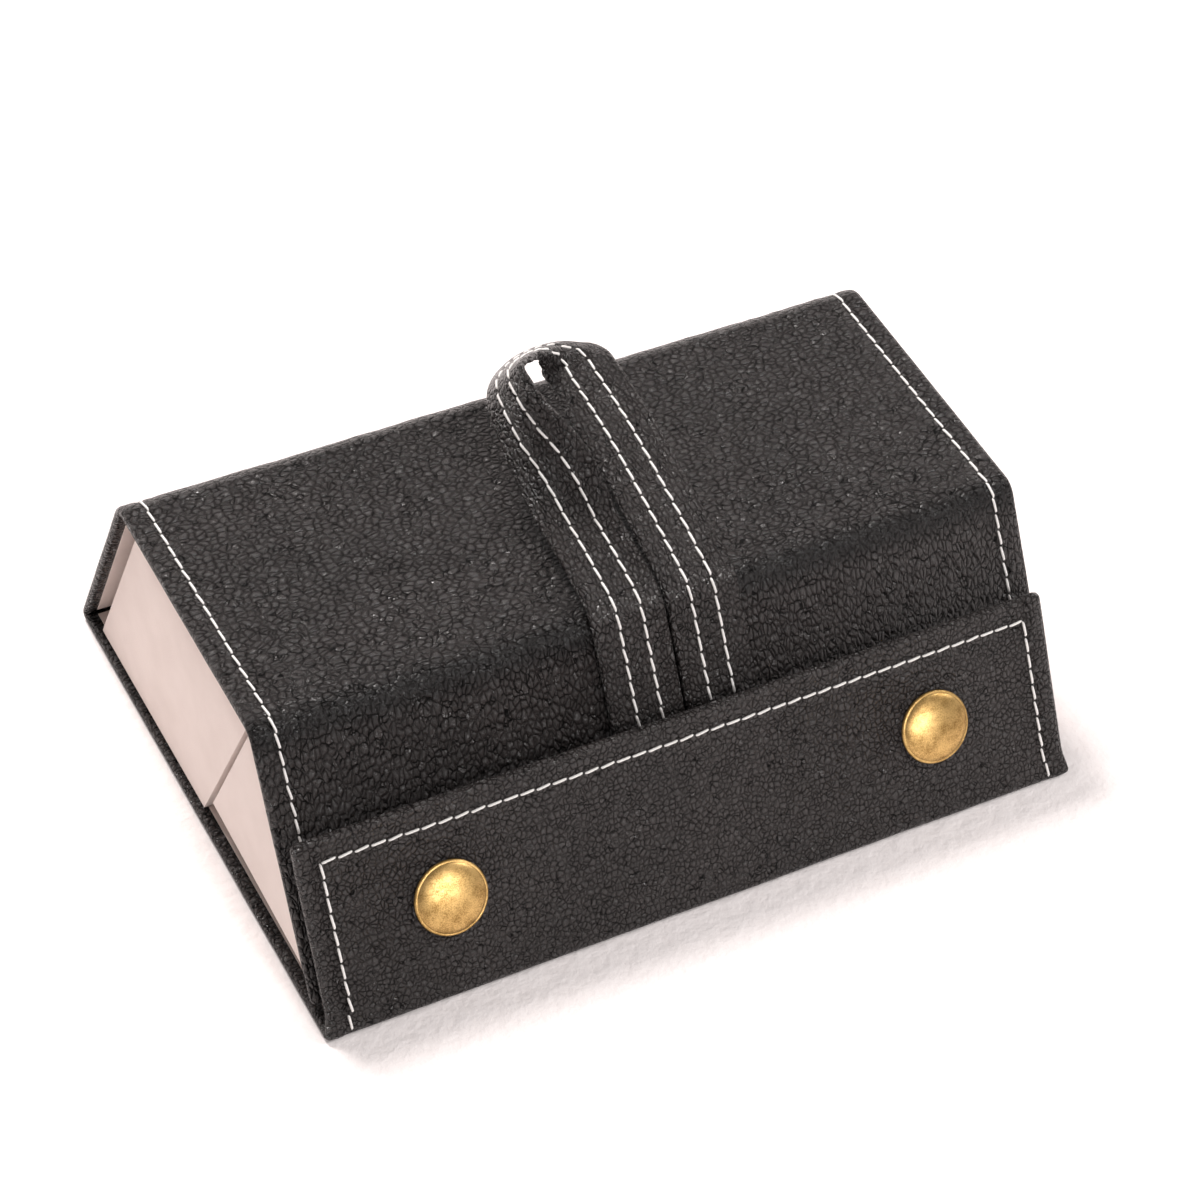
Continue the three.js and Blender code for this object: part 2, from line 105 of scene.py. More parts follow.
class Strip:
    """The strip's outer line in (y, z), sampled by arc length, with its inward normals."""

    def __init__(self, corners, radii, step, fine):
        self.points, self.normals, self.marks = [], [], []
        start = corners[0]
        for before, corner, after, radius in zip(corners, corners[1:], corners[2:], radii):
            into = (corner - before).normalized()
            out = (after - corner).normalized()
            turn = into.angle(out)
            reach = radius * math.tan(turn / 2)
            self._straight(start, corner - into * reach, step, fine)
            inward = Vector((-into.y, into.x))
            centre = corner - into * reach + inward * radius
            count = max(int(radius * turn / fine), BEND_STEPS)
            self.marks.append(len(self.points) + count // 2)
            for i in range(count):
                angle = turn * i / count
                spoke = Matrix.Rotation(angle, 2) @ -inward
                self.points.append(centre + spoke * radius)
                self.normals.append(-spoke)
            start = corner + out * reach
        self._straight(start, corners[-1], step, fine, last=True)
        gaps = [(b - a).length for a, b in zip(self.points, self.points[1:])]
        self.run = [0.0] + list(np.cumsum(gaps))
        self.length = self.run[-1]
        self.mark_runs = [self.run[m] for m in self.marks]

    def _straight(self, a, b, step, fine, last=False):
        """Samples a straight run, closer together near the strip's own ends."""
        along = (b - a).normalized()
        length = (b - a).length
        inward = Vector((-along.y, along.x))
        at_end = last or not self.points
        stops = list(np.linspace(0, length, max(int(length / step), 2) + 1))
        if at_end:
            edge = [fine * k for k in range(1, END_STEPS + 1)]
            stops += [length - e for e in edge] if last else edge
            stops = sorted(stops)
        if not last:
            stops = stops[:-1]
        kept = []
        for s in stops:
            if not kept or s - kept[-1] > CLOSEST * fine:
                kept.append(s)
        for s in kept:
            self.points.append(a + along * s)
            self.normals.append(inward)

    def at(self, run):
        """Point (y, z) of the outer face at an arc length, and the inward normal there."""
        i = int(np.clip(np.searchsorted(self.run, run) - 1, 0, len(self.run) - 2))
        t = (run - self.run[i]) / (self.run[i + 1] - self.run[i])
        normal = self.normals[i].lerp(self.normals[i + 1], t).normalized()
        return self.points[i].lerp(self.points[i + 1], t), normal


strip = Strip(
    [FLAP_TIP, FRONT_EDGE, BACK_EDGE, BACK_RIDGE, FRONT_RIDGE, FRONT_FOOT],
    CORNER_RADII, step=1.6 * MM, fine=0.35 * MM,
)
FRONT_FOLD, BACK_FOLD, BACK_BEND, FRONT_BEND = strip.mark_runs


def bump(x, centre, width):
    return math.exp(-(((x - centre) / width) ** 2))


def smooth(edge0, edge1, x):
    t = min(max((x - edge0) / (edge1 - edge0), 0.0), 1.0)
    return t * t * (3 - 2 * t)


def rough(x, run, size, seed):
    """Smooth noise over the strip, about -1 to 1, with features of a size."""
    return noise.noise(Vector((x / size, run / size, seed)))


WIDENS_OVER = 6 * MM         # the flap widens to the full length over this last stretch


def half_width(run):
    """Half the strip's width: the flap is a little narrower, and both ends are rounded."""
    half = HALF - FLAP_SHORTER * (1 - smooth(FRONT_FOLD - WIDENS_OVER, FRONT_FOLD, run))
    end = min(run, strip.length - run)
    if end < TIP_ROUND:
        half -= TIP_ROUND - math.sqrt(TIP_ROUND**2 - (TIP_ROUND - end) ** 2)
    return half


THINNEST = 0.02              # share of the thickness left at the very end of the strip


def half_thickness(run):
    """Half the panel's thickness, which runs out in a half circle at the strip's ends."""
    end = min(run, strip.length - run)
    full = PANEL / 2
    if end >= full:
        return full
    return max(math.sqrt(full**2 - (full - end) ** 2), THINNEST * full)


GROOVE_WIDTH = 0.7 * MM      # of the groove that a stitch row pulls into the leather
GROOVE_DEPTH = 0.28 * MM


def stitched(x, run):
    """How far a place lies inside the nearest stitch line's groove, 0 to 1."""
    edge = HALF - abs(x)
    on_ends = bump(edge, STITCH_IN, GROOVE_WIDTH) if not FRONT_FOLD < run < BACK_FOLD else 0.0
    on_tip = bump(run, STITCH_IN, GROOVE_WIDTH) if edge > STITCH_IN else 0.0
    return max(on_ends, on_tip)


# Each as height and size: slow waves and ripples over the panels, the padded rim outside the
# stitches (and its place from the edge), and the creases along the two upper bends.
WAVES = (0.10 * MM, 26 * MM)
RIPPLES = (0.05 * MM, 9 * MM)
RIM = (0.16 * MM, 1.4 * MM)
RIM_IN = 2.6 * MM
CREASES = (0.16 * MM, 4.5 * MM)
CREASE_LENGTH = 6 * MM


def swell(x, run):
    """How far the leather's outer face stands out from flat: padding, creases, unevenness."""
    edge = HALF - abs(x)
    height = WAVES[0] * rough(x, run, WAVES[1], 3.1)
    height += RIPPLES[0] * rough(x, run, RIPPLES[1], 8.7)
    height -= GROOVE_DEPTH * stitched(x, run)
    height += RIM[0] * bump(edge, RIM_IN, RIM[1])
    for bend in (BACK_BEND, FRONT_BEND):
        crease = rough(x * 3.0, run * 0.7, CREASE_LENGTH, 5.5)
        height += CREASES[0] * crease * bump(run, bend, CREASES[1])
    return height


FLAP_BOW = 0.8               # how far the flap's free edge bows out in the middle, in mm
FLAP_CURL = 0.4              # and how far its left corner curls, in mm


def bow(x, run):
    """The flap's outer face bows out over the strap, and its left corner curls a little."""
    if run > FRONT_FOLD:
        return 0.0
    rise = 1 - run / FRONT_FOLD
    middle = 1 - (x / HALF) ** 2
    curl = smooth(0.82, 1.0, -x / HALF) * smooth(0.6, 1.0, rise)
    return (FLAP_BOW * middle * rise**2 + FLAP_CURL * curl) * MM


# ---- meshes -------------------------------------------------------------------------------
def make_object(name, vertices, faces, material):
    mesh = bpy.data.meshes.new(name)
    mesh.from_pydata([tuple(v) for v in vertices], [], faces)
    mesh.validate()
    mesh.shade_smooth()
    mesh.materials.append(material)
    made = bpy.data.objects.new(name, mesh)
    bpy.context.collection.objects.link(made)
    return made


# Distances of the columns from the strip's edge, in mm: close together round the stitches, then
# even up to the middle.
RIM_COLUMNS = [0, 0.7, 1.4, 2.1, 2.8, 3.4, 3.9, 4.3, 4.7, 5.0, 5.3, 5.7, 6.1, 6.6, 7.3, 8.2, 9.4]
FIRST_EVEN, EVEN_STEP = 11.0, 1.9
NEAR_MIDDLE = 0.985          # columns past this share give way to the one in the middle


def columns():
    """Places across the strip as shares of its half width, closer together near its edges."""
    inner = np.arange(FIRST_EVEN, HALF / MM, EVEN_STEP)
    side = [e * MM / HALF for e in RIM_COLUMNS] + [i * MM / HALF for i in inner]
    left = [-1 + s for s in side if s < NEAR_MIDDLE]
    return left + [0.0] + [-s for s in reversed(left)]


EDGE_STEPS = 6               # steps round each edge of the strip
EDGE_WAVE = (0.08 * MM, 14 * MM)               # height and size of the edges' unevenness


def ring(i):
    """Cross-section of the strip at one sample: outer face, right edge, inner face, left edge."""
    run = strip.run[i]
    point, normal = strip.points[i], strip.normals[i]
    half, thick = half_width(run), half_thickness(run)
    middle_depth = PANEL / 2
    flat = half - thick

    def place(x, depth, lift):
        y, z = point + normal * (depth - lift - bow(x, run) * (1 - depth / PANEL))
        return Vector((x, y, z))

    outer = []
    for share in columns():
        x = share * flat
        fade = thick / (PANEL / 2)
        outer.append(place(x, middle_depth - thick, swell(x, run) * fade))
    edge_right, edge_left = [], []
    for k in range(1, EDGE_STEPS):
        angle = math.pi * k / EDGE_STEPS
        out, depth = flat + thick * math.sin(angle), middle_depth - thick * math.cos(angle)
        wave = EDGE_WAVE[0] * rough(out, run, EDGE_WAVE[1], 2.0)
        edge_right.append(place(out + wave, depth, 0.0))
        edge_left.append(place(-out - wave, depth, 0.0))
    inner = [place(share * flat, middle_depth + thick, 0.0) for share in columns()]
    return outer + edge_right + inner[::-1] + edge_left[::-1]


def skin(name, first, last, material):
    """The strip's leather between two samples, as a closed body."""
    rings = [ring(i) for i in range(first, last + 1)]
    count = len(rings[0])
    vertices = [v for r in rings for v in r]
    faces = []
    for r in range(len(rings) - 1):
        for k in range(count):
            a, b = r * count + k, r * count + (k + 1) % count
            faces.append((a, b, b + count, a + count))
    end = (len(rings) - 1) * count
    faces.append(tuple(range(count))[::-1])
    faces.append(tuple(range(end, end + count)))
    made = make_object(name, vertices, faces, material)
    for polygon in made.data.polygons[-2:]:
        polygon.use_smooth = False
    rims = set()
    for start in (0, end):
        rims |= {frozenset((start + k, start + (k + 1) % count)) for k in range(count)}
    for edge in made.data.edges:
        if frozenset(edge.vertices) in rims:
            edge.use_edge_sharp = True
    return made


def turn_faces_out(made):
    """Turns the faces of a closed body outward."""
    grid = bmesh.new()
    grid.from_mesh(made.data)
    bmesh.ops.recalc_face_normals(grid, faces=grid.faces)
    grid.to_mesh(made.data)
    grid.free()


# ---- materials ----------------------------------------------------------------------------
class Look:
    """A principled material and short calls to add nodes to it."""

    def __init__(self, name, **values):
        self.material = bpy.data.materials.new(name)
        self.material.use_nodes = True
        self.nodes = self.material.node_tree.nodes
        self.links = self.material.node_tree.links
        self.shader = self.nodes["Principled BSDF"]
        for socket, value in values.items():
            self.shader.inputs[socket.replace("_", " ")].default_value = value

    def add(self, kind, settings=None, **inputs):
        node = self.nodes.new("ShaderNode" + kind)
        for key, value in (settings or {}).items():
            setattr(node, key, value)
        for key, value in inputs.items():
            socket = node.inputs[int(key[1:]) if key[0] == "i" and key[1:].isdigit()
                                 else key.replace("_", " ")]
            if isinstance(value, bpy.types.NodeSocket):
                self.links.new(value, socket)
            else:
                socket.default_value = value
        return node.outputs

    def place(self, scale=(1.0, 1.0, 1.0)):
        """Object coordinates, scaled."""
        where = self.add("TexCoord")["Object"]
        return self.add("Mapping", Vector=where, Scale=scale)["Vector"]

    def math(self, operation, a, b, c=0.0):
        return self.add("Math", {"operation": operation}, i0=a, i1=b, i2=c)[0]

    def noise(self, where, scale, detail=3.0, rough=0.55):
        return self.add(
            "TexNoise", Vector=where, Scale=scale, Detail=detail, Roughness=rough,
        )["Fac"]

    def spread(self, value, low, high, to_low=0.0, to_high=1.0):
        return self.add(
            "MapRange", {"interpolation_type": "SMOOTHSTEP"},
            Value=value, From_Min=low, From_Max=high, To_Min=to_low, To_Max=to_high,
        )["Result"]

    def mix(self, factor, a, b):
        return self.add(
            "MixRGB", {"blend_type": "MIX"}, i0=factor, i1=a, i2=b,
        )["Color"]

    def blend(self, factor, a, b):
        """From value a, at factor 0, to value b."""
        return self.math("MULTIPLY_ADD", factor, self.math("SUBTRACT", b, a), a)

    def set(self, socket, value):
        self.links.new(value, self.shader.inputs[socket])

    def relief(self, height, distance):
        bumped = self.add("Bump", Height=height, Distance=distance, Strength=1.0)
        self.set("Normal", bumped["Normal"])


def rgb(r, g, b):
    return (r, g, b, 1.0)


PAINTED_CREASE_SHADE = (0.0012, 0.0011, 0.0011)        # painted shade: the colour in the creases
PEBBLE_BLACK = (0.034, 0.028, 0.0268)          # and the leather's own colour on top of the pebbles
SLOPE_TO_TOP = (-27.5 * MM, -23 * MM)          # y over which the slope's grain becomes the top's
RIDGE_RISE = (-28.5 * MM, -26 * MM)            # y over which the smooth ridge begins
RIDGE_FALL = (-24.5 * MM, -20.5 * MM)          # and ends


def grain(look, where, cell):
    """Distance from the creases between large cells, and between the small ones in them."""
    wander = look.add("TexNoise", Vector=where, Scale=0.55 / cell, Detail=2.0)["Color"]
    shifted = look.add(
        "VectorMath", {"operation": "MULTIPLY_ADD"},
        i0=wander, i1=(0.9 * cell,) * 3, i2=where,
    )["Vector"]
    return [look.add(
        "TexVoronoi", {"feature": "DISTANCE_TO_EDGE"}, Vector=shifted, Scale=share / cell,
        Randomness=0.9,
    )["Distance"] for share in (1.0, 2.2)]


def leather(name, cell, stretch, slope_stretch=None, gloss=0.34, depth=0.6 * MM):
    """Pebbled black leatherette: domed cells between fine creases, of a cell size, with painted
    shade in the creases. The cells are drawn out along an axis. A cover has them drawn out
    another way on the slope below its front ridge, and is smoother and darker on the ridge
    itself."""
    look = Look(name)
    where = look.place(tuple(1 / s for s in stretch))
    cells, small = grain(look, where, cell)
    ridge = 0.0
    if slope_stretch:
        steep = look.place(tuple(1 / s for s in slope_stretch))
        back = look.add("SeparateXYZ", Vector=look.add("TexCoord")["Object"])["Y"]
        on_top = look.spread(back, *SLOPE_TO_TOP)
        steep_cells, steep_small = grain(look, steep, cell)
        cells = look.blend(on_top, steep_cells, cells)
        small = look.blend(on_top, steep_small, small)
        ridge = look.math("MULTIPLY", look.spread(back, *RIDGE_RISE),
                          look.spread(back, *RIDGE_FALL, 1.0, 0.0))
    dome = look.spread(cells, 0.0, 0.40)
    crease = look.spread(cells, 0.0, 0.08)
    crumb = look.spread(small, 0.0, 0.20)
    pores = look.noise(where, 9 / cell, 4.0, 0.6)
    height = look.math("MULTIPLY_ADD", crease, 0.45, dome)
    height = look.math("MULTIPLY_ADD", crumb, 0.22, height)
    height = look.math("MULTIPLY_ADD", pores, 0.10, height)
    height = look.math("MULTIPLY", height, look.math("MULTIPLY_ADD", ridge, -0.6, 1.0))
    look.relief(height, depth)
    patches = look.noise(where, 0.06 / MM, 3.0)
    # The creases are darkened as painted shade, in colour and in reflection; in random patches
    # this painted shade fades.
    faint = look.math("MULTIPLY", look.spread(look.noise(where, 0.5 / MM, 2.0), 0.44, 0.62), 0.65)
    out_of_crease_shade = look.blend(faint, look.spread(cells, 0.0, 0.09), 1.0)
    tone = look.math("MULTIPLY", out_of_crease_shade, look.spread(patches, 0.3, 0.7, 0.75, 1.0))
    tone = look.math("MULTIPLY", tone, look.math("MULTIPLY_ADD", ridge, -0.75, 1.0))
    # Base colour: painted shade in the creases, random tone patches, and darker on the ridge.
    look.set("Base Color", look.mix(tone, rgb(*PAINTED_CREASE_SHADE), rgb(*PEBBLE_BLACK)))
    # Reflection is turned down in the creases as painted shade, and on the ridge.
    crease_shaded_specular = look.spread(out_of_crease_shade, 0.0, 1.0, 0.05, 0.55)
    look.set("Specular IOR Level",
             look.math("MULTIPLY", crease_shaded_specular, look.math("MULTIPLY_ADD", ridge, -0.55, 1.0)))
    worn = look.spread(dome, 0.05, 0.8, 0.15, gloss)
    look.set("Roughness", look.math("MULTIPLY_ADD", pores, 0.06, worn))
    return look.material


def flock(name, color, shade):
    """Short cream flock: a fine nap with faint clouds."""
    look = Look(name, Roughness=0.95, Sheen_Weight=0.35, Sheen_Roughness=0.6,
                Specular_IOR_Level=0.2)
    where = look.place()
    nap = look.noise(where, 4.5 / MM, 3.0, 0.7)
    clouds = look.noise(where, 0.09 / MM, 3.0)
    tone = look.math("MULTIPLY_ADD", nap, 0.35, look.spread(clouds, 0.3, 0.7, 0.0, 0.65))
    look.set("Base Color", look.mix(tone, rgb(*shade), rgb(*color)))
    look.relief(nap, 0.12 * MM)
    return look.material


def antique_brass(name):
    """Brushed antique plating: warm brass with dark specks that gather in soft patches."""
    look = Look(name, Metallic=1.0)
    where = look.place()
    specks = look.noise(where, 4.2 / MM, 6.0, 0.75)
    patches = look.noise(where, 0.35 / MM, 3.0)
    dirt = look.spread(look.math("MULTIPLY_ADD", patches, 0.5, specks), 0.62, 0.92)
    look.set("Base Color", look.mix(dirt, rgb(0.62, 0.40, 0.155), rgb(0.24, 0.135, 0.04)))
    look.set("Roughness", look.spread(specks, 0.3, 0.75, 0.26, 0.52))
    look.relief(specks, 0.03 * MM)
    return look.material


def thread_look(name):
    """White sewing thread, its plies showing as faint bands."""
    look = Look(name, Roughness=0.75, Sheen_Weight=0.3, Specular_IOR_Level=0.35)
    where = look.place()
    ply = look.noise(where, 3.0 / MM, 2.0)
    look.set("Base Color", look.mix(ply, rgb(0.70, 0.66, 0.63), rgb(0.93, 0.90, 0.88)))
    look.relief(ply, 0.08 * MM)
    return look.material


def greyboard(name):
    """Grey stiffening board with short fibres."""
    look = Look(name, Roughness=0.95)
    fibre = look.noise(look.place(), 1.5 / MM, 5.0)
    look.set("Base Color", look.mix(fibre, rgb(0.30, 0.28, 0.25), rgb(0.45, 0.43, 0.39)))
    look.relief(fibre, 0.05 * MM)
    return look.material


def paper_floor(name):
    """Pale, faintly uneven paper."""
    look = Look(name, Roughness=0.9, Specular_IOR_Level=0.2)
    where = look.place()
    bumps = look.noise(where, 0.28 / MM, 4.0, 0.6)
    look.set("Base Color", look.mix(bumps, rgb(0.94, 0.865, 0.85), rgb(0.97, 0.91, 0.90)))
    look.relief(bumps, 0.5 * MM)
    return look.material


GRAIN = 1.2 * MM
BACK_LOOK = leather("back_leather", GRAIN, (1.5, 1, 1))
COVER_LOOK = leather("cover_leather", GRAIN, (1.5, 1, 1), slope_stretch=(0.95, 1.5, 1.6))
FLAP_LOOK = leather("flap_leather", 1.0 * MM, (1.1, 1, 1.2), depth=0.5 * MM)
STRAP_LOOK = leather("strap_leather", 1.1 * MM, (0.9, 1.3, 1.3), gloss=0.28, depth=0.45 * MM)
LINING_LOOK = flock("lining", (0.84, 0.71, 0.655), (0.76, 0.63, 0.575))
BRASS_LOOK = antique_brass("brass")
THREAD_LOOK = thread_look("thread")
BOARD_LOOK = greyboard("board")


# ---- leather skins ------------------------------------------------------------------------
BASE_CUT_Y = -50 * MM        # the flap's skin ends under the base here
TOP_CUT_Y = 6 * MM           # and the back's skin on the top panel here


def nearest_sample(y, upper):
    """Sample of the strip nearest to y, on the top panel or on the base."""
    wanted = [i for i, p in enumerate(strip.points) if (p.y > 0.049) == upper
              and (upper or abs(p.y) < 1e-6)]
    return min(wanted, key=lambda i: abs(strip.points[i].x - y))


def leather_skins():
    base_cut = nearest_sample(BASE_CUT_Y, upper=False)
    top_cut = nearest_sample(TOP_CUT_Y, upper=True)
    flap = skin("flap_skin", 0, base_cut, FLAP_LOOK)
    back = skin("base_and_back_skin", base_cut, top_cut, BACK_LOOK)
    front = skin("top_and_front_skin", top_cut, len(strip.points) - 1, COVER_LOOK)
    for piece in (flap, back, front):
        turn_faces_out(piece)
    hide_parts("flap_leather", "flap_facing", "front_fold")
    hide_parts("base_leather", "spine_fold")
    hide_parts("cover_leather")
    fold = Vector((0.0, -60.6 * MM, 1.9 * MM))
    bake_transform(flap)
    fold.y = -fold.y
    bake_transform(back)
    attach(front, "tray_block")


# ---- stitches -----------------------------------------------------------------------------
THREAD = 0.28 * MM           # radius of the thread
STITCH_LENGTH = 3.4 * MM
STITCH_PROUD = 0.11 * MM     # how far a stitch's middle stands off the leather
STITCH_DIP = 0.40 * MM       # how far its ends go down from there
STITCH_SLANT = 5.0           # degrees, give or take the next value
SLANT_VARIES = 3
END_THINNER = 0.45           # share by which the thread is thinner at a stitch's ends
THREAD_VARIES = 0.06         # share by which its radius varies
STITCH_RINGS, STITCH_SIDES = 9, 7


class Stitches:
    """Stitches gathered in one mesh: each a short bulge of thread that dips into its holes."""

    def __init__(self, seed):
        self.vertices, self.faces = [], []
        self.random = random.Random(seed)

    def add(self, middle, along, out):
        """One stitch about a point, lying along a direction, on a surface facing out."""
        slant = math.radians(STITCH_SLANT + self.random.uniform(-SLANT_VARIES, SLANT_VARIES))
        across = out.cross(along).normalized()
        along = (along * math.cos(slant) + across * math.sin(slant)).normalized()
        across = out.cross(along).normalized()
        start = len(self.vertices)
        rings, sides = STITCH_RINGS, STITCH_SIDES
        for i in range(rings):
            t = -1 + 2 * i / (rings - 1)
            rise = STITCH_PROUD - STITCH_DIP * t**8
            uneven = 1 + THREAD_VARIES * self.random.uniform(-1, 1)
            thick = THREAD * (1 - END_THINNER * t**6) * uneven
            centre = middle + along * (t * STITCH_LENGTH / 2) + out * rise
            for k in range(sides):
                angle = 2 * math.pi * (k + 0.5 * i) / sides
                self.vertices.append(
                    centre + across * thick * math.cos(angle) + out * thick * math.sin(angle))
        for i in range(rings - 1):
            for k in range(sides):
                a, b = start + i * sides + k, start + i * sides + (k + 1) % sides
                self.faces.append((a, b, b + sides, a + sides))
        last = start + (rings - 1) * sides
        self.faces.append(tuple(range(start, start + sides))[::-1])
        self.faces.append(tuple(range(last, last + sides)))

    def finish(self, name):
        made = make_object(name, self.vertices, self.faces, THREAD_LOOK)
        turn_faces_out(made)
        return made


def on_strip(x, run):
    """Point, direction along the strip and outward normal of its outer face at (x, run)."""
    (point, inward), (ahead, _) = strip.at(run), strip.at(run + 0.2 * MM)
    lift = swell(x, run) + bow(x, run)
    middle = Vector((x, point.x, point.y)) - Vector((0, inward.x, inward.y)) * lift
    along = Vector((0, ahead.x - point.x, ahead.y - point.y)).normalized()
    return middle, along, -Vector((0, inward.x, inward.y))


def edge_rows(first, last, seed):
    """Stitch rows along both ends of the strip, between two arc lengths."""
    rows = Stitches(seed)
    count = round((last - first) / STITCH_PITCH)
    for side in (-1, 1):
        for i in range(count):
            run = first + (i + 0.5) * (last - first) / count
            x = side * (half_width(max(run, TIP_ROUND)) - STITCH_IN)
            rows.add(*on_strip(x, run))
    return rows


def tip_row(rows, run):
    """A row across the strip, parallel to its end."""
    half = half_width(TIP_ROUND) - STITCH_IN
    count = int(2 * half / STITCH_PITCH)
    for i in range(count):
        x = -half + (i + 0.5) * 2 * half / count
        middle, _, out = on_strip(x, run)
        rows.add(middle, Vector((1, 0, 0)), out)


def stitching():
    flap = edge_rows(STITCH_IN, FRONT_FOLD - 0.6 * MM, 11)
    tip_row(flap, STITCH_IN)
    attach(flap.finish("flap_stitches"), "flap")
    cover = edge_rows(BACK_FOLD + 4 * MM, strip.length - 3 * MM, 12)
    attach(cover.finish("cover_stitches"), "tray_block")


# ---- strap --------------------------------------------------------------------------------
STRAP_WIDTH = 16 * MM
STRAP_THICK = 1.5 * MM
STRAP_MIDDLE = 3.1 * MM      # middle of the two legs, along X
LEG_SPREAD = 8.2 * MM        # each leg's middle from the strap's middle
STRAP_END = 31 * MM          # ends under the flap, down the front panel from the ridge
LEG_START = 6.7 * MM         # a leg's length is counted from here, down from the ridge
RIDGE_BEND = (4 * MM, 11.5 * MM)
LOOP_ROOT = 12 * MM          # the loop swings from here, just behind the ridge
LOW_PITCH = 12.0             # the band's slope there, in degrees
STRAP_ROWS = (-2.45 * MM, 2.85 * MM)           # the two stitch rows, from the band's middle

# The loop as in the CAD: its outer edge, in millimetres, and the direction across the band from
# it. The left leg turns on edge, its inner edge up; the band rolls round the far end and comes
# back flat as the right leg.
LOOP = [
    ((-13.1, -13.5, 55.0), (1, 0, 0)),
    ((-13.1, -5.5, 56.2), (1, 0, 0.03)),
    ((-13.1, 1.0, 57.2), (0.95, -0.03, 0.28)),
    ((-13.1, 6.5, 59.2), (0.74, -0.10, 0.66)),
    ((-13.0, 12.0, 61.8), (0.46, -0.20, 0.87)),
    ((-12.7, 18.0, 65.0), (0.29, -0.34, 0.89)),
    ((-11.6, 23.5, 67.1), (0.19, -0.45, 0.88)),
    ((-8.1, 28.5, 66.6), (0.10, -0.58, 0.81)),
    ((-2.0, 33.0, 65.7), (-0.10, -0.70, 0.71)),
    ((5.2, 36.0, 64.2), (-0.37, -0.70, 0.61)),
    ((12.0, 37.0, 62.8), (-0.66, -0.58, 0.48)),
    ((17.4, 35.2, 62.3), (-0.90, -0.36, 0.26)),
    ((19.3, 31.3, 63.0), (-0.99, -0.13, 0.05)),
    ((19.3, 26.5, 63.3), (-1, 0, 0)),
    ((19.3, 19.0, 62.6), (-1, 0, 0)),
    ((19.3, 9.3, 61.3), (-1, 0, 0)),
    ((19.3, -0.8, 58.9), (-1, 0, 0)),
    ((19.3, -11.2, 56.2), (-1, 0, 0)),
]


def leg_line(step):
    """A leg's middle line in the cross-section, from its lower end to the loop's root."""
    down = (FRONT_FOOT - FRONT_RIDGE).normalized()
    out = Vector((down.y, -down.x))
    steep = math.atan2(-down.y, -down.x)
    start = FRONT_RIDGE + out * (STRAP_THICK / 2 + 0.05 * MM)
    count = int((STRAP_END - LEG_START) / step)
    line = [start + down * (LEG_START + (STRAP_END - LEG_START) * (1 - i / count))
            for i in range(count)]
    at, s, fine = start + down * LEG_START, 0.0, step / 8
    for i in range(int(LOOP_ROOT / fine) + 1):
        slope = steep + smooth(*RIDGE_BEND, s) * (math.radians(LOW_PITCH) - steep)
        if i % 8 == 0:
            line.append(at.copy())
        at += Vector((math.cos(slope), math.sin(slope))) * fine
        s += fine
    return line


def spline(points, step):
    """Smooth curve through points (Catmull-Rom), as (place in the list, point)."""
    found = []
    for i in range(1, len(points) - 2):
        a, b, c, d = points[i - 1:i + 3]
        steps = max(int((c - b).length / step), 1)
        for k in range(steps):
            t = k / steps
            at = 0.5 * (2 * b + (c - a) * t + (2 * a - 5 * b + 4 * c - d) * t**2
                        + (3 * b - a - 3 * c + d) * t**3)
            found.append((i + t, at))
    return found


def strap_stations(step=1.1 * MM):
    """The whole band, from its left end round the loop to its right end: each station is a
    middle point and the direction across the band."""
    line = leg_line(step)
    sides = (-1, 1)
    edges = [[Vector((STRAP_MIDDLE + side * (LEG_SPREAD + STRAP_WIDTH / 2), p.x, p.y))
              for p in line] for side in sides]
    across = [Vector((-side, 0, 0)) for side in sides]
    knots = [edges[0][-2], edges[0][-1]] + [Vector(e) * MM for e, _ in LOOP]
    knots += [edges[1][-1], edges[1][-2]]
    widths = [across[0]] * 2 + [Vector(w).normalized() for _, w in LOOP] + [across[1]] * 2
    stations = [(edge + across[0] * STRAP_WIDTH / 2, across[0]) for edge in edges[0][:-1]]
    for place, edge in spline(knots, step):
        i = int(place)
        width = widths[i].lerp(widths[i + 1], smooth(0, 1, place - i) * 0.3
                               + (place - i) * 0.7).normalized()
        stations.append((edge + width * STRAP_WIDTH / 2, width))
    stations += [(edge + across[1] * STRAP_WIDTH / 2, across[1]) for edge in reversed(edges[1])]
    return stations


class Band:
    """The strap's frames: length so far, middle, across, outward and along."""

    def __init__(self, stations):
        self.frames, run = [], 0.0
        for i, (middle, width) in enumerate(stations):
            before = stations[max(i - 1, 0)][0]
            after = stations[min(i + 1, len(stations) - 1)][0]
            along = (after - before).normalized()
            if i:
                run += (middle - stations[i - 1][0]).length
            out = width.cross(along).normalized()
            self.frames.append((run, middle, width, out, along))

    def at(self, run):
        runs = [f[0] for f in self.frames]
        i = int(np.clip(np.searchsorted(runs, run) - 1, 0, len(runs) - 2))
        t = (run - runs[i]) / (runs[i + 1] - runs[i])
        return [a + (b - a) * t for a, b in zip(self.frames[i][1:], self.frames[i + 1][1:])]


BAND_CROWN = 0.15 * MM       # how far the band's middle stands out
BAND_GROOVE = (0.22 * MM, 0.6 * MM)            # depth and width of a stitch row's groove
BAND_CREASES = (0.07 * MM, 5 * MM)             # height and size of the creases
BAND_COLUMNS = 25            # points across each face
BAND_EDGE_STEPS = 5          # steps round each edge


def band_swell(across, run):
    """How far the band's outer face stands out: a soft crown, stitch grooves and creases."""
    crown = BAND_CROWN * (1 - (2 * across / STRAP_WIDTH) ** 2)
    groove = sum(bump(across, row, BAND_GROOVE[1]) for row in STRAP_ROWS)
    crease = rough(across, run, BAND_CREASES[1], 12.3) * BAND_CREASES[0]
    return crown - BAND_GROOVE[0] * groove + crease


